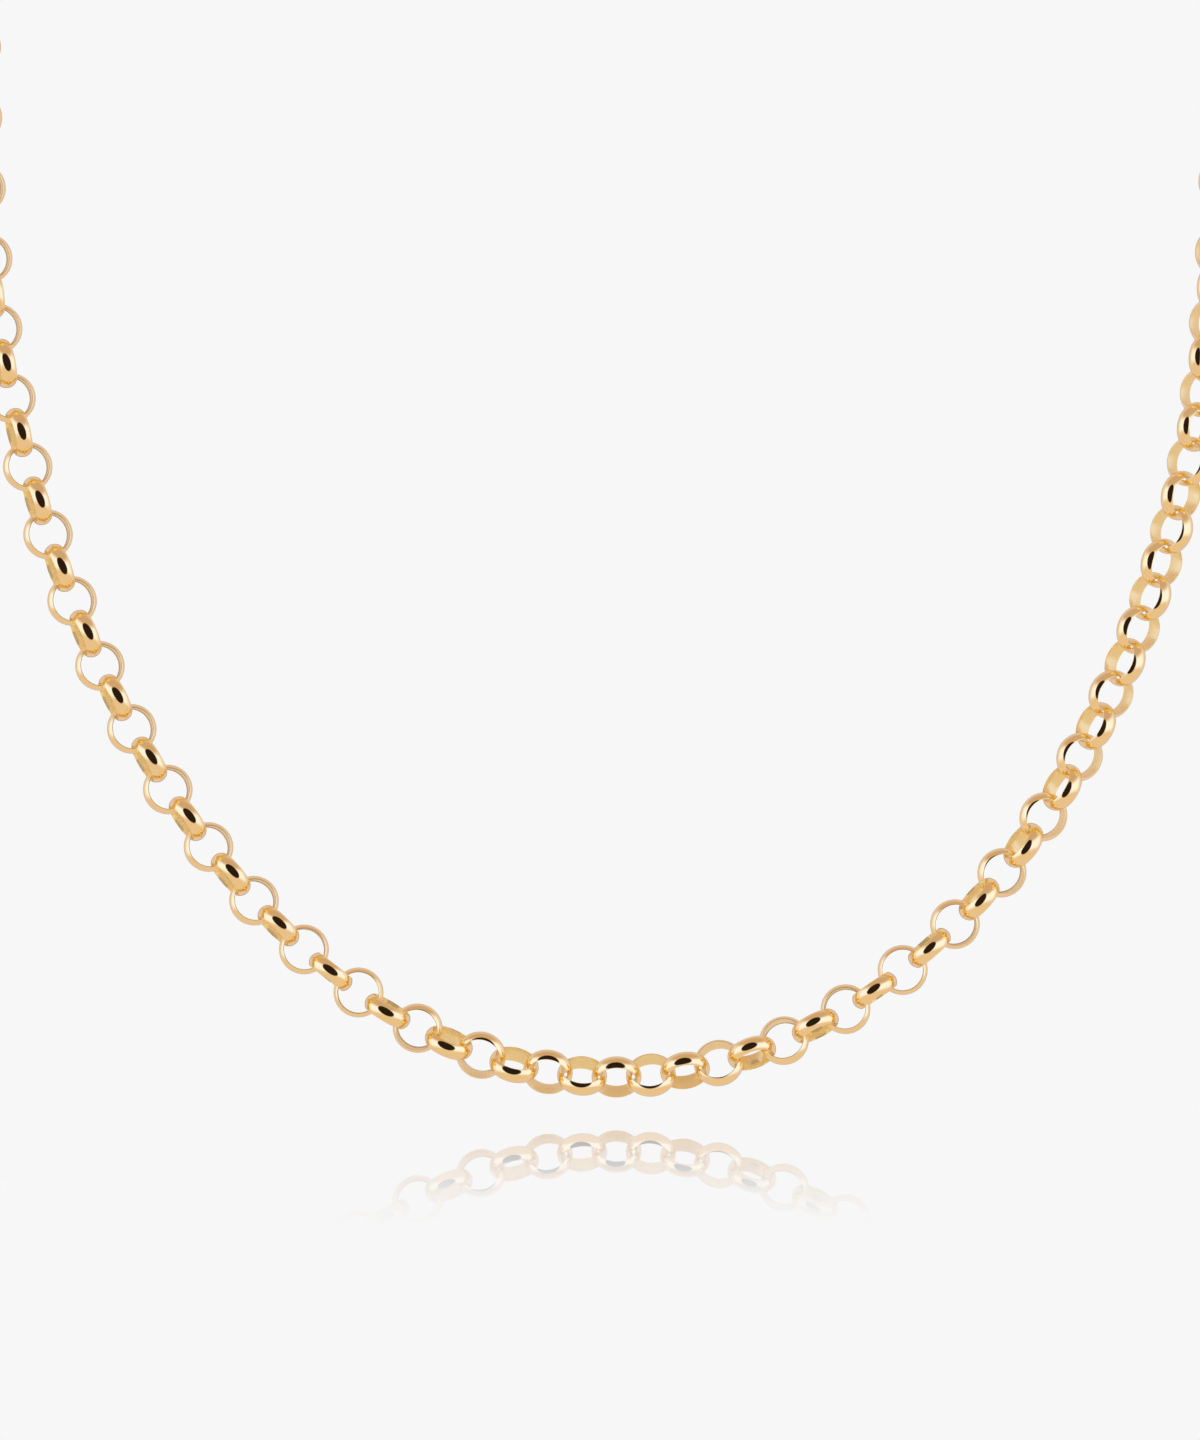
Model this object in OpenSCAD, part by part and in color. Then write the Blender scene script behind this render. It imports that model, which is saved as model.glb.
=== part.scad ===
// Rolo chain necklace: round links of domed band, each rolled a quarter turn from the
// last, closed at the nape by one plain clasp. Millimetres, +Z up, the face towards -Y.
// The origin is the middle of the neck hollow, level with the stretch behind the neck.

/* [Necklace] */
// Length round the closed necklace along its middle line, clasp included
necklace_len = 500; // [480:5:600]
// Radius of the bend that takes each side back over the shoulder
bend_r = 24; // [20:1:26]
// How far round the nape the clasp has slipped from the middle
clasp_slip = 2.7; // [-6:0.1:6]

/* [Links] */
// Outer diameter of a link
link_od = 4.16; // [3.7:0.02:4.6]
// Width of the band that a link is bent from
band_w = 1.34; // [1.1:0.02:1.5]
// Thickness of the band at the crown of its dome
band_t = 0.37; // [0.32:0.01:0.4]
// Thickness of the band at its two edges
side_t = 0.04; // [0.02:0.01:0.1]
// Gap left between two linked bands where the chain hangs straight
link_gap = 0.18; // [0.15:0.01:0.25]
// How far the links draw together in a bend, as a share of half the band's width
bend_draw = 1; // [0.8:0.1:1.4]
// How far they draw together where the chain twists, as a share of half the band's width
twist_draw = 0.6; // [0.4:0.1:1]

/* [Clasp] */
// Length of the clasp's oval loop
clasp_len = 11.5; // [10:0.5:14]
// Width of the clasp's oval loop
clasp_w = 7.6; // [6.6:0.2:9]
// Diameter of the wire of the loop
clasp_wire = 1.6; // [1.2:0.1:1.8]
// Diameter of the wire of the clasp's eye
eye_wire = 0.8; // [0.6:0.1:1]
// Play of an end link's band in the eye
eye_play = 0.4; // [0.35:0.05:0.6]
// Gap left between an end link and the clasp where the chain is pulled straight
clasp_gap = 0.15; // [0.15:0.01:0.25]
// Diameter of the thumb catch on the loop
catch_d = 1.2; // [0.9:0.1:1.5]
// How far the middle of the thumb catch's round head stands out of the loop
catch_h = 0.6; // [0.4:0.1:1.2]

/* [Hidden] */

// Guide points [x, z] of the stretch that hangs in front of the neck, as a cubic B-spline.
// Its lowest link is level with z = 0 here, and both ends stand upright.
front_route = [
    [-52, 111], [-52, 91], [-52, 71], [-47.5, 46.5], [-36.5, 22], [-19.5, 4.5], [0, -2],
    [20.5, 3.5], [38.5, 20.5], [49.5, 48], [52, 71], [52, 91], [52, 111]
];

// How the links lie along the loop, from the clasp round the left side to the clasp again:
// share of the loop's length, and turn of the even links, in degrees, away from facing
// the front or, behind the neck, the sky
lay = [
    [0, 0], [0.3, -13], [0.44, -13], [0.464, 4], [0.484, 25], [0.51, 47], [0.555, 88],
    [0.595, 115], [0.62, 127], [0.66, 141], [0.71, 148], [1, 180]
];
share = 0;
turn = 1;

// Samples along one piece of the guide spline, and along one curved stretch of the rest
route_steps = 30;
arc_steps = 60;
// Sides drawn on a circle, and flats across the dome of a band
ring_fn = 64;
dome_flats = 5;

function unit(v) = v / norm(v);
function mix(a, b, t) = a + (b - a) * t;
function last(v) = v[len(v) - 1];
function column(table, c) = [for (row = table) row[c]];
function pairs(keys, values) = [for (i = [0:len(keys) - 1]) [keys[i], values[i]]];
function steps_of(p) = [0, for (i = [1:len(p) - 1]) norm(p[i] - p[i - 1])];
function running(v) =
    [for (i = 0, sum = v[0]; i < len(v); i = i + 1, sum = sum + (i < len(v) ? v[i] : 0)) sum];

// Links: radii of the hole and the dome, and the pitch of two links pulled straight
link_r = link_od / 2;
hole_r = link_r - band_t;
dome_rise = band_t - side_t;
dome_r = (pow(band_w / 2, 2) + pow(dome_rise, 2)) / (2 * dome_rise);
full_pitch = 2 * sqrt(pow(hole_r, 2) - pow(band_w / 2, 2)) - link_gap;

// Clasp: radii of its loop's round ends and its eye, and how far each end link's middle
// lies from the middle of the round end that holds it
loop_hole_r = clasp_w / 2 - clasp_wire;
loop_straight = clasp_len - clasp_w;
eye_hole_r = norm([band_w / 2, band_t]) + eye_play;
eye_off = clasp_w / 2 + eye_hole_r + eye_wire / 2;
function reach(r) = hole_r + sqrt(r * r - pow(band_w / 2, 2)) - clasp_gap;
clasp_span = reach(eye_hole_r) + eye_off + loop_straight + reach(loop_hole_r);

// Front stretch, sampled
function spline_at(p, i, t) =
    (p[i] * pow(1 - t, 3) + p[i + 1] * (3 * pow(t, 3) - 6 * t * t + 4)
    + p[i + 2] * (-3 * pow(t, 3) + 3 * t * t + 3 * t + 1) + p[i + 3] * pow(t, 3)) / 6;
front_pieces = len(front_route) - 3;
front_line = [
    for (i = [0:front_pieces - 1], j = [0:route_steps - 1])
        spline_at(front_route, i, j / route_steps),
    spline_at(front_route, front_pieces - 1, 1)
];
front_len = last(running(steps_of(front_line)));

// Round the neck: a half circle behind it, a straight run and a bend down on each side
neck_r = (last(front_line).x - front_line[0].x) / 2;
run = (necklace_len - front_len - PI * (neck_r + bend_r)) / 2;
front_y = -run - bend_r;
slip_a = clasp_slip / neck_r * 180 / PI;

// Each sample is [place, direction that a link with no turn faces]
function back_at(side, a) = [[side * neck_r * sin(a), neck_r * cos(a), 0], [0, 0, 1]];
function bend_at(side, a) = [
    [side * neck_r, -run - bend_r * sin(a), bend_r * (cos(a) - 1)],
    [0, -sin(a), cos(a)]
];
loop = [
    for (i = [0:arc_steps]) back_at(-1, mix(-slip_a, 90, i / arc_steps)),
    for (i = [0:arc_steps - 1]) bend_at(-1, 90 * i / arc_steps),
    for (p = front_line) [[p.x, front_y, p.y - front_line[0].y - bend_r], [0, -1, 0]],
    for (i = [1:arc_steps]) bend_at(1, 90 - 90 * i / arc_steps),
    for (i = [0:arc_steps]) back_at(1, mix(90, slip_a, i / arc_steps))
];
places = column(loop, 0);
faces = column(loop, 1);
step = steps_of(places);
along = running(step);
loop_len = last(along);

turn_table = pairs(column(lay, share), column(lay, turn));
turns = [for (s = along) lookup(s / loop_len, turn_table)];

// Length laid down so far, with what each bend and twist takes up as the links draw together
headings = [for (i = [1:len(places) - 1]) unit(places[i] - places[i - 1])];
bends = [
    0,
    for (i = [1:len(headings) - 1]) asin(norm(cross(headings[i - 1], headings[i]))),
    0
];
twists = [0, for (i = [1:len(turns) - 1]) abs(turns[i] - turns[i - 1])];
laid = along + running(bends * bend_draw + twists * twist_draw) * PI / 180 * band_w / 2;

// An even number of steps, so that the two end links lie alike
clasp_arc = asin(clasp_span / 2 / neck_r) * PI / 180 * neck_r;
laid_from = lookup(clasp_arc, pairs(along, laid));
laid_to = lookup(loop_len - clasp_arc, pairs(along, laid));
link_steps = 2 * ceil((laid_to - laid_from) / full_pitch / 2);
left_count = link_steps / 2;

place_tables = [for (c = [0:2]) pairs(along, column(places, c))];
face_tables = [for (c = [0:2]) pairs(along, column(faces, c))];
function at(tables, s) = [for (t = tables) lookup(s, t)];

// Placing of link k: X along the chain, Z the axis of its hole
function link_s(k) =
    lookup(mix(laid_from, laid_to, k / link_steps), pairs(laid, along));
function link_matrix(k) =
    let (
        s = link_s(k),
        p = at(place_tables, s),
        t = unit(at(place_tables, s + link_r / 2) - at(place_tables, s - link_r / 2)),
        raw = at(face_tables, s),
        f = unit(raw - (raw * t) * t),
        roll = lookup(s / loop_len, turn_table) + 90 * (k % 2),
        axis = f * cos(roll) + cross(t, f) * sin(roll),
        side = cross(axis, t)
    )
    [for (c = [0:2]) [t[c], side[c], axis[c], p[c]], [0, 0, 0, 1]];

// The band's section: flat inside, two narrow sides, and outside a dome of narrow flats
module band_section() {
    half_w = band_w / 2;
    dome_a = asin(half_w / dome_r);
    dome = [
        for (i = [0:dome_flats])
            let (a = mix(-dome_a, dome_a, i / dome_flats))
                [link_r + dome_r * (cos(a) - 1), dome_r * sin(a)]
    ];
    polygon(concat(dome, [[hole_r, half_w], [hole_r, -half_w]]));
}

module link() {
    rotate_extrude($fn = ring_fn) band_section();
}

module links(from, to) {
    for (k = [from:to]) multmatrix(link_matrix(k)) link();
}

module chain_left() {
    color([0.87, 0.67, 0.36]) links(0, left_count - 1);
}

module chain_right() {
    color([0.87, 0.67, 0.36]) links(left_count, link_steps);
}

module wire_ring(hole, wire, angle = 360) {
    rotate_extrude(angle = angle, $fn = ring_fn)
        translate([hole + wire / 2, 0]) circle(d = wire, $fn = ring_fn);
}

// The oval loop, with the middle of its right round end at the origin
module clasp_loop() {
    wire_r = clasp_w / 2 - clasp_wire / 2;
    rotate([0, 0, -90]) wire_ring(loop_hole_r, clasp_wire, 180);
    translate([-loop_straight, 0, 0]) rotate([0, 0, 90])
        wire_ring(loop_hole_r, clasp_wire, 180);
    for (y = [-wire_r, wire_r]) translate([-loop_straight, y, 0]) rotate([0, 90, 0])
        cylinder(d = clasp_wire, h = loop_straight, $fn = ring_fn);
}

module thumb_catch() {
    translate([0, clasp_w / 2 - clasp_wire / 2, 0]) rotate([-90, 0, 0]) {
        cylinder(d = catch_d, h = clasp_wire / 2 + catch_h, $fn = ring_fn);
        translate([0, 0, clasp_wire / 2 + catch_h]) sphere(d = catch_d, $fn = ring_fn);
    }
}

// Flat against the nape, with its eye on the left strand and its loop on the right one
module clasp() {
    middle_y = neck_r * cos(asin(clasp_span / 2 / neck_r));
    loop_x = clasp_span / 2 - reach(loop_hole_r);
    color([0.85, 0.64, 0.33])
        rotate([0, 0, -slip_a]) translate([loop_x, middle_y, 0]) rotate([90, 0, 0]) {
            clasp_loop();
            translate([-loop_straight - eye_off, 0, 0]) wire_ring(eye_hole_r, eye_wire);
            translate([-loop_straight / 2, 0, 0]) thumb_catch();
        }
}

chain_left();
chain_right();
clasp();
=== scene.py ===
"""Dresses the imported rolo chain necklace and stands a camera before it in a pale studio.

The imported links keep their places. Each is replaced by a smooth ring of domed band of the
same sizes, polished outside and satin inside, and the clasp by a smooth one of its own
form. Sizes are in millimetres and are brought to the frame's metres as the pieces are
placed.
"""

import logging
import math
from dataclasses import dataclass, field
from enum import Enum
from functools import cached_property
from typing import Any

import bmesh
import bpy
import numpy as np
from mathutils import Matrix, Vector


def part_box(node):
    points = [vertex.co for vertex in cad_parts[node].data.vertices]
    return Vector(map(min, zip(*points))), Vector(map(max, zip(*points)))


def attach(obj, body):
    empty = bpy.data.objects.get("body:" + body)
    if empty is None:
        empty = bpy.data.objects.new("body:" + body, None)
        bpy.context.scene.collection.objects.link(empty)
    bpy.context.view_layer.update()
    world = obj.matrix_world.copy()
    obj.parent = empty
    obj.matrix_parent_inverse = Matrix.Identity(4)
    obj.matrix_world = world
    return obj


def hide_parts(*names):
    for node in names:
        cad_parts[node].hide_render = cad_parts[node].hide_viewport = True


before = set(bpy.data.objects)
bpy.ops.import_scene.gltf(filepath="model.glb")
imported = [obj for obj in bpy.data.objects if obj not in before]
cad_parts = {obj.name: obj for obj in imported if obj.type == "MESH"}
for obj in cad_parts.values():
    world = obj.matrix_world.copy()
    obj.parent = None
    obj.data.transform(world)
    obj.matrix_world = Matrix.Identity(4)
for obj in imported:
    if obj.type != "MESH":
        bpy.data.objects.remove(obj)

log = logging.getLogger("necklace")

Colour = tuple[float, float, float, float]
Span = tuple[float, float]

MM = 0.001
TO_METRES = Matrix.Scale(MM, 4)
UP = Vector((0.0, 0.0, 1.0))
WHITE: Colour = (1.0, 1.0, 1.0, 1.0)
# Brightness of the plain wall and of the floor
BACKDROP = 0.930
# Points closer together than this, in millimetres, are one point
WELD_MM = 0.001
# Edges that turn more than this stay sharp
SHARP = math.radians(35.0)
# Point attribute of the pieces, 1 on the inner faces of links and 0 elsewhere. There the
# finish turns satin and a deeper gold is painted in as bounce light
INSIDE = "inside"
# Places of the Mix node's colour sockets, which share their names with its other types'
MIX_FIRST, MIX_SECOND, MIX_RESULT = 6, 7, 2
# Brings the product of two noises, each about 0.5, to about 1
NOISE_PAIR = 4.0


class Slot(Enum):
    """Names of the record's material slots for the links and the clasp, which the script
    doesn't use.
    """

    LINKS = "links"
    CLASP = "clasp"


class Operation(Enum):
    """Math node operations that the expressions use."""

    ADD = "ADD"
    SUBTRACT = "SUBTRACT"
    MULTIPLY = "MULTIPLY"
    DIVIDE = "DIVIDE"
    ABSOLUTE = "ABSOLUTE"


class Value:
    """A number that changes from place to place: arithmetic on it adds Math nodes."""

    def __init__(self, graph: "Graph", socket: bpy.types.NodeSocket) -> None:
        """Wraps an output socket of a graph's node."""
        self.graph = graph
        self.socket = socket

    def _with(self, operation: Operation, *terms: Any, clamp: bool = False) -> "Value":
        """Adds a Math node.

        Args:
            operation: What the node does.
            *terms: Its inputs in order, numbers or values.
            clamp: Whether the result is kept between 0 and 1.

        Returns:
            The node's result.
        """
        settings = {"operation": operation.value, "use_clamp": clamp}
        node = self.graph.node("ShaderNodeMath", settings, dict(enumerate(terms)))
        return Value(self.graph, node.outputs[0])

    def __add__(self, other: Any) -> "Value":
        """Sum of the two."""
        return self._with(Operation.ADD, self, other)

    def __radd__(self, other: Any) -> "Value":
        """Sum of the two."""
        return self._with(Operation.ADD, other, self)

    def __sub__(self, other: Any) -> "Value":
        """This less the other."""
        return self._with(Operation.SUBTRACT, self, other)

    def __rsub__(self, other: Any) -> "Value":
        """The other less this."""
        return self._with(Operation.SUBTRACT, other, self)

    def __mul__(self, other: Any) -> "Value":
        """Product of the two."""
        return self._with(Operation.MULTIPLY, self, other)

    def __rmul__(self, other: Any) -> "Value":
        """Product of the two."""
        return self._with(Operation.MULTIPLY, other, self)

    def __truediv__(self, other: Any) -> "Value":
        """This over the other."""
        return self._with(Operation.DIVIDE, self, other)

    def __abs__(self) -> "Value":
        """This without its sign."""
        return self._with(Operation.ABSOLUTE, self)

    def clamped(self) -> "Value":
        """This kept between 0 and 1."""
        return self._with(Operation.ADD, self, 0.0, clamp=True)

    def eased(self, edge: Span) -> "Value":
        """Soft step on this value.

        Args:
            edge: Where the step is still 0, and where it has reached 1. The second is the
                lower one for a falling step.

        Returns:
            The step, 0 to 1.
        """
        start, end = edge
        t = ((self - start) / (end - start)).clamped()
        return t * t * (3.0 - 2.0 * t)


class Graph:
    """A node tree that is filled node by node."""

    def __init__(self, tree: bpy.types.NodeTree) -> None:
        """Empties the tree and keeps it."""
        self.tree = tree
        tree.nodes.clear()

    def node(
        self,
        kind: str,
        settings: dict[str, Any] | None = None,
        inputs: dict[str | int, Any] | None = None,
    ) -> bpy.types.Node:
        """Adds one node.

        Args:
            kind: Blender's name of the node's type.
            settings: The node's own properties, set before its sockets.
            inputs: Sockets by name or number, with numbers, colours, values or sockets.

        Returns:
            The new node.
        """
        node = self.tree.nodes.new(kind)
        for name, value in (settings or {}).items():
            setattr(node, name, value)
        for name, value in (inputs or {}).items():
            if isinstance(value, Value):
                value = value.socket
            if isinstance(value, bpy.types.NodeSocket):
                self.tree.links.new(value, node.inputs[name])
            else:
                node.inputs[name].default_value = value
        return node

    def value(self, node: bpy.types.Node, output: str) -> Value:
        """A node's output as a value for expressions."""
        return Value(self, node.outputs[output])

    def blend(self, share: Any, first: Any, second: Any) -> bpy.types.NodeSocket:
        """Mixes two colours.

        Args:
            share: How much of the second, 0 to 1.
            first: Colour or colour socket.
            second: Colour or colour socket.

        Returns:
            The mixed colour's socket.
        """
        settings = {"data_type": "RGBA", "clamp_factor": True}
        inputs = {"Factor": share, MIX_FIRST: first, MIX_SECOND: second}
        return self.node("ShaderNodeMix", settings, inputs).outputs[MIX_RESULT]

    def noise(self, scale: float, detail: float, roughness: float = 0.5) -> Value:
        """Noise that is fixed to the piece.

        Args:
            scale: Grains a metre.
            detail: Octaves added to the first.
            roughness: Weight of each finer octave.

        Returns:
            The noise, about 0.5 on average.
        """
        inputs = {
            "Vector": self.node("ShaderNodeTexCoord").outputs["Object"],
            "Scale": scale,
            "Detail": detail,
            "Roughness": roughness,
        }
        return self.value(self.node("ShaderNodeTexNoise", inputs=inputs), "Fac")

    def layered(
        self, share: Value, under: bpy.types.Node, over: bpy.types.Node
    ) -> bpy.types.Node:
        """Mixes two shaders.

        Args:
            share: How much of the upper one, 0 to 1.
            under: The lower shader.
            over: The upper shader.

        Returns:
            The mixed shader.
        """
        inputs = {0: share, 1: under.outputs[0], 2: over.outputs[0]}
        return self.node("ShaderNodeMixShader", inputs=inputs)

    def output(
        self, shader: bpy.types.Node, kind: str = "ShaderNodeOutputMaterial"
    ) -> None:
        """Leads a shader to a new output node of the given kind."""
        self.node(kind, inputs={"Surface": shader.outputs[0]})


def new_material(name: str) -> tuple[bpy.types.Material, Graph]:
    """Adds a material.

    Args:
        name: Its name.

    Returns:
        The material and its empty node tree.
    """
    material = bpy.data.materials.new(name)
    material.use_nodes = True
    return material, Graph(material.node_tree)


@dataclass(frozen=True)
class GoldFinish:
    """Polished pale gold plate: bright outside, satin inside the band, with a deeper gold
    there.

    The deeper gold on the inner faces is painted bounce light, for the light thrown back
    and forth between them. A soft cloud tints the plate towards the same deeper gold at
    random, a fine grain wears its polish, and a slow ripple bends its reflections. Their
    scales are grains a metre.
    """

    name: str
    light: Colour = (1.0, 0.80, 0.39, 1.0)
    # Deeper gold: a random tone of the plate under the cloud, and painted bounce light on
    # the inner faces
    deep_tone_and_bounce: Colour = (1.0, 0.79, 0.35, 1.0)
    polish: float = 0.05
    inner_roughness: float = 0.15
    inner_satin: float = 0.60
    cloud_scale: float = 260.0
    cloud_tint: float = 0.15
    grain_scale: float = 5200.0
    grain_wear: float = 0.03
    grain_relief: float = 0.05
    ripple_scale: float = 900.0
    ripple_mm: float = 0.006
    bump_strength: float = 0.6

    def material(self) -> bpy.types.Material:
        """Makes the finish.

        Returns:
            A metal whose colour, roughness and bump follow fine noise, and which turns
            satin where the piece's own attribute marks the insides of links. There a deeper
            gold is painted in as bounce light.
        """
        material, graph = new_material(self.name)
        attribute = graph.node("ShaderNodeAttribute", {"attribute_name": INSIDE})
        inside = graph.value(attribute, "Fac")
        cloud = graph.noise(self.cloud_scale, detail=2.0)
        grain = graph.noise(self.grain_scale, detail=3.0, roughness=0.6)
        ripple = graph.noise(self.ripple_scale, detail=1.0)
        # Share of the deeper gold: a little at random from the cloud, and most on the inner
        # faces as painted bounce light
        depth = self.cloud_tint * cloud + (1.0 - self.cloud_tint) * inside
        wear = self.grain_wear * (cloud * grain * NOISE_PAIR).clamped()
        rough = self.polish + (self.inner_roughness - self.polish) * inside + wear
        relief = {
            "Strength": self.bump_strength,
            "Distance": self.ripple_mm * MM,
            "Height": ripple + self.grain_relief * grain,
        }
        sockets = {
            # Painted bounce light: the inner faces take the deeper gold
            "Base Color": graph.blend(depth.clamped(), self.light, self.deep_tone_and_bounce),
            "Metallic": 1.0 - self.inner_satin * inside,
            "Roughness": rough,
            "Normal": graph.node("ShaderNodeBump", inputs=relief).outputs["Normal"],
        }
        graph.output(graph.node("ShaderNodeBsdfPrincipled", inputs=sockets))
        return material


def to_object(bm: bmesh.types.BMesh, name: str) -> bpy.types.Object:
    """Finishes a mesh and puts it in the scene.

    Args:
        bm: The mesh, in metres and in place. It is freed.
        name: The new object's name.

    Returns:
        The object, at the origin.
    """
    for face in bm.faces:
        face.smooth = True
    for edge in bm.edges:
        edge.smooth = edge.calc_face_angle(0.0) < SHARP
    mesh = bpy.data.meshes.new(name)
    bm.to_mesh(mesh)
    bm.free()
    piece = bpy.data.objects.new(name, mesh)
    bpy.context.scene.collection.objects.link(piece)
    return piece


def edges_between(verts: list[bmesh.types.BMVert]) -> list[bmesh.types.BMEdge]:
    """Edges that join two of the vertices, each once and in the same order every run."""
    joined = (e for v in verts for e in v.link_edges if e.other_vert(v) in verts)
    return list(dict.fromkeys(joined))


@dataclass
class Band:
    """The band that a link is bent from, domed outside, flat inside, in millimetres."""

    link_d: float = 4.16
    width: float = 1.34
    crown: float = 0.37
    side: float = 0.04
    rim_ease: float = 0.016
    rim_steps: int = 2
    dome_steps: int = 10
    ring_steps: int = 40

    @property
    def link_r(self) -> float:
        """Outer radius of a link."""
        return self.link_d / 2

    @property
    def hole_r(self) -> float:
        """Radius of a link's hole."""
        return self.link_r - self.crown

    def _section(self, bm: bmesh.types.BMesh) -> None:
        """Draws the closed section of the band in the XZ plane, with eased rims.

        Args:
            bm: The mesh, empty so far.
        """
        half, rise = self.width / 2, self.crown - self.side
        dome_r = (half**2 + rise**2) / (2 * rise)
        inner = [bm.verts.new((self.hole_r, 0.0, z)) for z in (-half, half)]
        lower = bm.verts.new((self.hole_r + self.side, 0.0, -half))
        upper = bmesh.ops.spin(
            bm, geom=[lower], cent=(self.link_r - dome_r, 0.0, 0.0),
            axis=(0.0, -1.0, 0.0), angle=2 * math.asin(half / dome_r),
            steps=self.dome_steps,
        )["geom_last"][0]
        for ends in ((lower, inner[0]), inner, (inner[1], upper)):
            bmesh.ops.contextual_create(bm, geom=ends)
        bmesh.ops.bevel(
            bm, geom=[lower, upper, *inner], offset=self.rim_ease,
            segments=self.rim_steps, profile=0.5, affect="VERTICES", material=-1,
        )

    def is_inside(self, place: Vector) -> bool:
        """Whether a point of the band lies on its inner face, short of the eased rims."""
        slack = self.rim_ease / 4
        return math.hypot(place.x, place.y) < self.hole_r + slack

    def mesh(self) -> bpy.types.Mesh:
        """Makes one link.

        Returns:
            A ring round the origin, its axis along Z, in millimetres.
        """
        bm = bmesh.new()
        self._section(bm)
        bmesh.ops.spin(
            bm, geom=bm.verts[:] + bm.edges[:], axis=UP, angle=2 * math.pi,
            steps=self.ring_steps, use_merge=True,
        )
        bmesh.ops.remove_doubles(bm, verts=bm.verts, dist=WELD_MM)
        bmesh.ops.recalc_face_normals(bm, faces=bm.faces)
        mesh = bpy.data.meshes.new("link")
        bm.to_mesh(mesh)
        bm.free()
        return mesh


@dataclass
class ChainHalf:
    """One half of the chain: a smooth link in the place of each packed one."""

    node: str
    band: Band = field(default_factory=Band)

    @staticmethod
    def _islands(bm: bmesh.types.BMesh) -> list[list[bmesh.types.BMFace]]:
        """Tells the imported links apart.

        Args:
            bm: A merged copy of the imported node.

        Returns:
            The faces of each link, in the same order every run.
        """
        unseen, islands = set(bm.faces), []
        for first in bm.faces:
            if first not in unseen:
                continue
            unseen.discard(first)
            island, queue = [first], [first]
            while queue:
                for edge in queue.pop().edges:
                    near = [face for face in edge.link_faces if face in unseen]
                    unseen.difference_update(near)
                    island += near
                    queue += near
            islands.append(island)
        return islands

    @cached_property
    def placings(self) -> list[Matrix]:
        """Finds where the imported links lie.

        Returns:
            For each link, the placing in metres that takes a ring round Z to it. The
            link's axis is the way in which its surface spreads least.
        """
        bm = bmesh.new()
        bm.from_mesh(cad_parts[self.node].data)
        bmesh.ops.remove_doubles(bm, verts=bm.verts, dist=WELD_MM * MM)
        found = []
        for island in self._islands(bm):
            centres = np.array([face.calc_center_median() for face in island])
            areas = np.array([face.calc_area() for face in island])
            middle = np.average(centres, axis=0, weights=areas)
            spread = np.cov((centres - middle).T, aweights=areas)
            axis = Vector(np.linalg.eigh(spread).eigenvectors[:, 0])
            turn = UP.rotation_difference(axis).to_matrix().to_4x4()
            found.append(Matrix.Translation(middle) @ turn)
        bm.free()
        return found

    def build(self, finish: bpy.types.Material) -> bpy.types.Object:
        """Makes the half, dresses it and hands it to the frame.

        Args:
            finish: The links' material.

        Returns:
            The piece.
        """
        link = self.band.mesh()
        bm = bmesh.new()
        for place in self.placings:
            before = len(bm.verts)
            bm.from_mesh(link)
            bm.verts.ensure_lookup_table()
            bmesh.ops.transform(bm, matrix=place @ TO_METRES, verts=bm.verts[before:])
        piece = to_object(bm, f"{self.node}_links")
        inside = [float(self.band.is_inside(vertex.co)) for vertex in link.vertices]
        layer = piece.data.attributes.new(INSIDE, "FLOAT", "POINT")
        layer.data.foreach_set("value", inside * len(self.placings))
        bpy.data.meshes.remove(link)
        piece.data.materials.append(finish)
        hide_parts(self.node)
        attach(piece, "root")
        return piece


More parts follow.
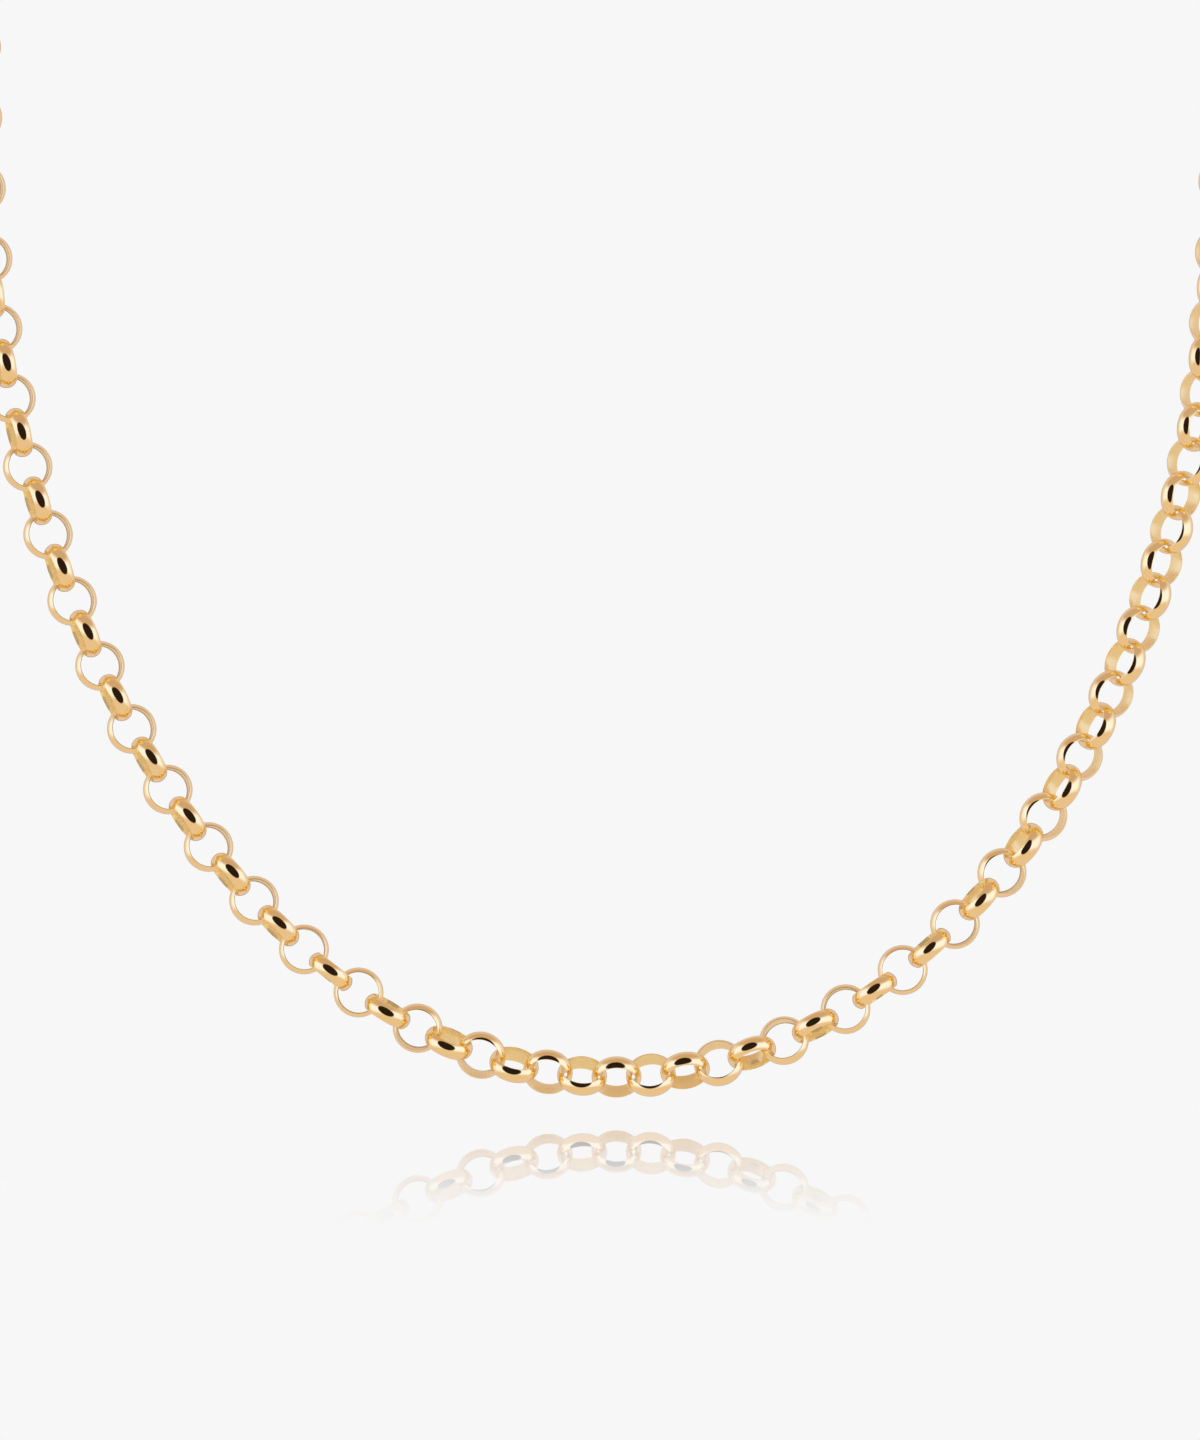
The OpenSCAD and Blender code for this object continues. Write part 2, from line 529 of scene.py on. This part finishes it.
@dataclass
class Clasp:
    """The plain oval clasp at the nape, in millimetres, with its eye to the left."""

    node: str = "clasp"
    length: float = 11.5
    width: float = 7.6
    wire: float = 1.6
    eye_wire: float = 0.8
    eye_play: float = 0.4
    catch_d: float = 1.2
    catch_h: float = 0.6
    slip: float = 2.7
    nape_r: float = 52.0
    band: Band = field(default_factory=Band)
    wire_steps: int = 20
    half_turn_steps: int = 28

    @property
    def straight(self) -> float:
        """Length of the loop's straight sides."""
        return self.length - self.width

    @property
    def eye_hole_r(self) -> float:
        """Radius of the eye's hole, through which an end link's band fits with play."""
        return math.hypot(self.band.width / 2, self.band.crown) + self.eye_play

    def _spun(
        self, bm: bmesh.types.BMesh, geom: list[Any], centre: Vector, angle: float
    ) -> list[bmesh.types.BMEdge]:
        """Spins a ring of edges about an upright axis.

        Args:
            bm: The mesh.
            geom: The ring's vertices and edges.
            centre: A point of the axis.
            angle: How far, in radians.

        Returns:
            The ring's edges where the spin ends.
        """
        end = bmesh.ops.spin(
            bm, geom=geom, cent=centre, axis=UP, angle=angle,
            steps=round(self.half_turn_steps * angle / math.pi),
            use_merge=math.isclose(angle, 2 * math.pi),
        )["geom_last"]
        return [e for e in end if isinstance(e, bmesh.types.BMEdge)]

    def _wire_end(self, bm: bmesh.types.BMesh, d: float, at: Vector) -> list[Any]:
        """Draws a wire's round section, facing along X.

        Args:
            bm: The mesh.
            d: The wire's diameter.
            at: The section's middle.

        Returns:
            Its vertices and edges.
        """
        place = Matrix.Translation(at) @ Matrix.Rotation(math.pi / 2, 4, "Y")
        verts = bmesh.ops.create_circle(
            bm, cap_ends=False, radius=d / 2, segments=self.wire_steps, matrix=place
        )["verts"]
        return verts + edges_between(verts)

    def _loop(self, bm: bmesh.types.BMesh) -> None:
        """Draws the oval loop, its right round end about the origin.

        Args:
            bm: The mesh.
        """
        reach = (self.width - self.wire) / 2
        first = self._wire_end(bm, self.wire, Vector((0.0, -reach, 0.0)))
        ring = self._spun(bm, first, Vector(), math.pi)
        run = bmesh.ops.extrude_edge_only(bm, edges=ring)["geom"]
        verts = [g for g in run if isinstance(g, bmesh.types.BMVert)]
        left = Vector((-self.straight, 0.0, 0.0))
        bmesh.ops.translate(bm, verts=verts, vec=left)
        last = self._spun(bm, verts + edges_between(verts), left, math.pi)
        start = [e for e in first if isinstance(e, bmesh.types.BMEdge)]
        bmesh.ops.bridge_loops(bm, edges=last + start)

    def _eye(self, bm: bmesh.types.BMesh) -> None:
        """Draws the small eye that holds the left end link.

        Args:
            bm: The mesh.
        """
        reach = self.eye_hole_r + self.eye_wire / 2
        off = self.straight + self.width / 2 + reach
        ring = self._wire_end(bm, self.eye_wire, Vector((-off, -reach, 0.0)))
        self._spun(bm, ring, Vector((-off, 0.0, 0.0)), 2 * math.pi)

    def _catch(self, bm: bmesh.types.BMesh) -> None:
        """Draws the thumb catch, a short stem with a round head on the loop's upper side.

        Args:
            bm: The mesh.
        """
        foot = Vector((-self.straight / 2, (self.width - self.wire) / 2, 0.0))
        stem = self.wire / 2 + self.catch_h
        up = Matrix.Rotation(-math.pi / 2, 4, "X")
        middle = Matrix.Translation(foot + Vector((0.0, stem / 2, 0.0)))
        bmesh.ops.create_cone(
            bm, cap_ends=True, segments=self.wire_steps, radius1=self.catch_d / 2,
            radius2=self.catch_d / 2, depth=stem, matrix=middle @ up,
        )
        head = Matrix.Translation(foot + Vector((0.0, stem, 0.0)))
        bmesh.ops.create_uvsphere(
            bm, u_segments=self.wire_steps, v_segments=self.wire_steps // 2,
            radius=self.catch_d / 2, matrix=head @ up,
        )

    def _place(self, bm: bmesh.types.BMesh) -> None:
        """Stands the drawn clasp upright, turned round the nape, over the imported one.

        Args:
            bm: The clasp as drawn, flat and in millimetres.
        """
        turn = Matrix.Rotation(-self.slip / self.nape_r, 4, "Z")
        stand = Matrix.Rotation(math.pi / 2, 4, "X")
        bmesh.ops.transform(bm, matrix=turn @ stand @ TO_METRES, verts=bm.verts)
        places = np.array([vertex.co for vertex in bm.verts])
        drawn = Vector((places.min(axis=0) + places.max(axis=0)) / 2)
        low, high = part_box(self.node)
        bmesh.ops.translate(bm, verts=bm.verts, vec=(low + high) / 2 - drawn)

    def build(self, finish: bpy.types.Material) -> bpy.types.Object:
        """Makes the clasp, dresses it and hands it to the frame.

        Args:
            finish: Its material.

        Returns:
            The piece.
        """
        bm = bmesh.new()
        self._loop(bm)
        self._eye(bm)
        self._catch(bm)
        bmesh.ops.remove_doubles(bm, verts=bm.verts, dist=WELD_MM)
        bmesh.ops.recalc_face_normals(bm, faces=bm.faces)
        self._place(bm)
        piece = to_object(bm, f"{self.node}_smooth")
        piece.data.attributes.new(INSIDE, "FLOAT", "POINT")
        piece.data.materials.append(finish)
        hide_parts(self.node)
        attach(piece, "root")
        return piece


@dataclass(frozen=True)
class Tent:
    """Soft light from all round: cool level with the chain, warmer below and above.

    Behind the chain it is dimmer, with a dark patch straight behind. Each edge says where
    one light turns into the next: by how far a direction points upwards for the high and
    the level light, and by how far it points backwards for the others.
    """

    low_light: Colour = (0.82, 0.67, 0.62, 1.0)
    high_light: Colour = (0.63, 0.45, 0.39, 1.0)
    high_edge: Span = (0.3, 0.8)
    back_light: Colour = (0.78, 0.66, 0.72, 1.0)
    back_edge: Span = (0.0, 0.7)
    level_light: Colour = (1.06, 1.14, 1.7, 1.0)
    level_height: float = 0.12
    level_edge: Span = (0.62, 0.2)
    level_back_edge: Span = (0.6, -0.15)
    patch_light: Colour = (0.42, 0.28, 0.21, 1.0)
    patch_edge: Span = (0.85, 0.98)

    def build(self) -> None:
        """Hangs the tent round the scene.

        The camera sees a plain wall all round, and so does its view in the floor's
        mirror: a ray straight off a perfect mirror is a singular one.
        """
        world = bpy.data.worlds.new("tent")
        world.use_nodes = True
        bpy.context.scene.world = world
        graph = Graph(world.node_tree)
        way = graph.node("ShaderNodeTexCoord").outputs["Object"]
        parts = graph.node("ShaderNodeSeparateXYZ", inputs={"Vector": way})
        back, height = (graph.value(parts, axis) for axis in "YZ")
        light = graph.blend(height.eased(self.high_edge), self.low_light, self.high_light)
        light = graph.blend(back.eased(self.back_edge), light, self.back_light)
        off_level = abs(height - self.level_height)
        level = off_level.eased(self.level_edge) * back.eased(self.level_back_edge)
        light = graph.blend(level, light, self.level_light)
        light = graph.blend(back.eased(self.patch_edge), light, self.patch_light)
        path = graph.node("ShaderNodeLightPath")
        mirrored = graph.value(path, "Is Singular Ray")
        seen = (graph.value(path, "Is Camera Ray") + mirrored).clamped()
        light = graph.blend(seen, light, (BACKDROP, BACKDROP, BACKDROP, 1.0))
        sky = graph.node("ShaderNodeBackground", inputs={"Color": light})
        graph.output(sky, "ShaderNodeOutputWorld")


def stage_sheet(name: str, place: Matrix, finish: bpy.types.Material) -> bpy.types.Object:
    """Makes a flat sheet that belongs to the studio.

    Args:
        name: Its name.
        place: The sheet's placing, from a level square that reaches 1 m to each side.
        finish: Its material.

    Returns:
        The sheet.
    """
    bm = bmesh.new()
    bmesh.ops.create_grid(bm, x_segments=1, y_segments=1, size=1.0, matrix=place)
    piece = to_object(bm, name)
    piece.data.materials.append(finish)
    return piece


@dataclass(frozen=True)
class DarkCard:
    """Tall dark card aslant before the chain, which gives the links their black streaks.

    It stands along the line through two points, each given by how far it lies to the
    right of the lowest link and before it, and half its length is a share of the
    distance between them. The dark part is an oval with a soft rim. Its spans are slopes,
    sideways and upwards over the distance before the chain, seen from the middle of the
    picture at the lowest link's height.
    """

    lowest_link: Vector
    right_mm: Span = (66.0, 97.0)
    left_mm: Span = (-310.0, 333.0)
    half_length: float = 0.7
    half_height_mm: float = 480.0
    sideways: Span = (-0.93, 0.70)
    upwards: Span = (-0.35, 1.25)
    rim: Span = (1.4, 1.0)
    dark: Colour = (0.025, 0.014, 0.01, 1.0)
    glow: Colour = (0.82, 0.80, 0.70, 1.0)
    bounces_a_pass: float = 2.0

    @staticmethod
    def _from_middle(slope: Value, span: Span) -> Value:
        """How far a slope is from a span's middle: -1 and 1 at the span's ends."""
        low, high = span
        return (slope - (low + high) / 2) / ((high - low) / 2)

    def _material(self) -> bpy.types.Material:
        """Makes the card's finish, dark to the chain's first reflections alone.

        A path by way of the floor goes through it and meets the mirror below, and those
        bounces are taken off before the reflections are counted.

        Returns:
            A dull glow in the oval on the chain's side, and clear elsewhere.
        """
        material, graph = new_material("dark_card")
        place = graph.node("ShaderNodeTexCoord").outputs["Object"]
        parts = graph.node("ShaderNodeSeparateXYZ", inputs={"Vector": place})
        x, y, z = (graph.value(parts, axis) for axis in "XYZ")
        before = self.lowest_link.y - y
        across = self._from_middle(x / before, self.sideways)
        upward = self._from_middle((z - self.lowest_link.z) / before, self.upwards)
        oval = (across * across + upward * upward).eased(self.rim)
        front = 1.0 - graph.value(graph.node("ShaderNodeNewGeometry"), "Backfacing")
        path = graph.node("ShaderNodeLightPath")
        by_floor = self.bounces_a_pass * graph.value(path, "Transmission Depth")
        again = (graph.value(path, "Ray Depth") - 1.0 - by_floor).clamped()
        shade = graph.blend(again, self.dark, self.glow)
        clear = graph.node("ShaderNodeBsdfTransparent")
        lit = graph.node("ShaderNodeEmission", inputs={"Color": shade})
        graph.output(graph.layered(oval * front, clear, lit))
        return material

    def build(self) -> bpy.types.Object:
        """Stands the card up.

        Returns:
            The card, which the camera doesn't see.
        """
        near, far = (
            self.lowest_link + Vector((x_mm, -before_mm, 0.0)) * MM
            for x_mm, before_mm in (self.right_mm, self.left_mm)
        )
        along, up = (far - near) * self.half_length, UP * self.half_height_mm * MM
        stand = Matrix((along, up, along.cross(up).normalized())).transposed().to_4x4()
        stand.translation = (near + far) / 2
        card = stage_sheet("dark_card", stand, self._material())
        card.visible_camera = card.visible_diffuse = False
        return card


@dataclass(frozen=True)
class MirrorFloor:
    """Pale floor that lets a mirror just under it show near the chain's foot.

    The mirror shows most at the lowest link and fades out with distance, and only to an
    eye that looks along the floor. The links mirror neither sheet.
    """

    lowest_link: Vector
    below_mm: float = 3.0
    silvering_below_mm: float = 0.1
    half_mm: float = 3000.0
    mirror: float = 0.70
    reach_mm: float = 265.0
    grazing_edge: Span = (0.88, 0.96)

    def _sheet(
        self, name: str, below_mm: float, finish: bpy.types.Material
    ) -> bpy.types.Object:
        """Lays a large level sheet.

        Args:
            name: The sheet's name.
            below_mm: How far below the middle of the lowest link.
            finish: Its material.

        Returns:
            The sheet, unseen by the chain's reflections.
        """
        level = Vector((0.0, 0.0, self.lowest_link.z - below_mm * MM))
        place = Matrix.Translation(level) @ Matrix.Scale(self.half_mm * MM, 4)
        sheet = stage_sheet(name, place, finish)
        sheet.visible_glossy = False
        return sheet

    def floor(self) -> bpy.types.Object:
        """Lays the floor.

        Returns:
            A sheet of even pale light, partly clear near the chain's foot. The clear part
            refracts without bending, so that a path through it can be told from others.
        """
        material, graph = new_material("pale_floor")
        place = graph.node("ShaderNodeTexCoord").outputs["Object"]
        ends = {0: place, 1: self.lowest_link}
        away = graph.node("ShaderNodeVectorMath", {"operation": "DISTANCE"}, ends)
        nearness = 1.0 - graph.value(away, "Value") / (self.reach_mm * MM)
        weight = graph.node("ShaderNodeLayerWeight", inputs={"Blend": 0.5})
        grazing = graph.value(weight, "Facing").eased(self.grazing_edge)
        pale = graph.node("ShaderNodeEmission", inputs={"Strength": BACKDROP})
        clear = {"Color": WHITE, "Roughness": 0.0, "IOR": 1.0}
        through = graph.node("ShaderNodeBsdfRefraction", inputs=clear)
        share = self.mirror * (nearness.clamped() * grazing)
        graph.output(graph.layered(share, pale, through))
        return self._sheet("floor", self.below_mm, material)

    def silvering(self) -> bpy.types.Object:
        """Lays the mirror.

        Returns:
            A perfect mirror under the floor, which only shows through it.
        """
        material, graph = new_material("silvering")
        polished = {"Color": WHITE, "Roughness": 0.0}
        graph.output(graph.node("ShaderNodeBsdfGlossy", inputs=polished))
        below_mm = self.below_mm + self.silvering_below_mm
        sheet = self._sheet("floor_silvering", below_mm, material)
        sheet.visible_camera = sheet.visible_diffuse = False
        return sheet


@dataclass(frozen=True)
class Camera:
    """Camera level before the chain, set by what height its picture shows there."""

    lowest_link: Vector
    picture_h_mm: float = 120.0
    look_above_mm: float = 29.75
    distance_mm: float = 1200.0
    sensor_mm: float = 36.0
    clip_m: Span = (0.01, 20.0)

    def build(self) -> bpy.types.Object:
        """Stands the camera before the chain.

        Returns:
            The camera, which is the scene's own.
        """
        data = bpy.data.cameras.new("camera")
        data.sensor_width = self.sensor_mm
        data.lens = self.sensor_mm * self.distance_mm / self.picture_h_mm
        data.clip_start, data.clip_end = self.clip_m
        camera = bpy.data.objects.new("camera", data)
        camera.location = (
            0.0,
            self.lowest_link.y - self.distance_mm * MM,
            self.lowest_link.z + self.look_above_mm * MM,
        )
        camera.rotation_euler = (math.pi / 2, 0.0, 0.0)
        bpy.context.scene.collection.objects.link(camera)
        bpy.context.scene.camera = camera
        bpy.context.scene.view_settings.view_transform = "Standard"
        return camera


def report(piece: bpy.types.Object) -> None:
    """Logs a piece's name and how many faces it has."""
    log.info("%s: %d faces", piece.name, len(piece.data.polygons))


def main() -> None:
    """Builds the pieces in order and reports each."""
    logging.basicConfig(level=logging.INFO, format="%(name)s: %(message)s")
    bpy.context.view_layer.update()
    halves = [ChainHalf("chain_left"), ChainHalf("chain_right")]
    gold = GoldFinish("polished_gold").material()
    for half in halves:
        report(half.build(gold))
        log.info("%s: %d links", half.node, len(half.placings))
    report(Clasp().build(GoldFinish("clasp_gold", polish=0.07).material()))
    middles = [place.translation for half in halves for place in half.placings]
    lowest_link = min(middles, key=lambda middle: middle.z)
    Tent().build()
    report(DarkCard(lowest_link).build())
    floor = MirrorFloor(lowest_link)
    report(floor.floor())
    report(floor.silvering())
    camera = Camera(lowest_link).build()
    log.info("camera at %.3f, %.3f, %.3f m", *camera.location)


if __name__ == "__main__":
    main()
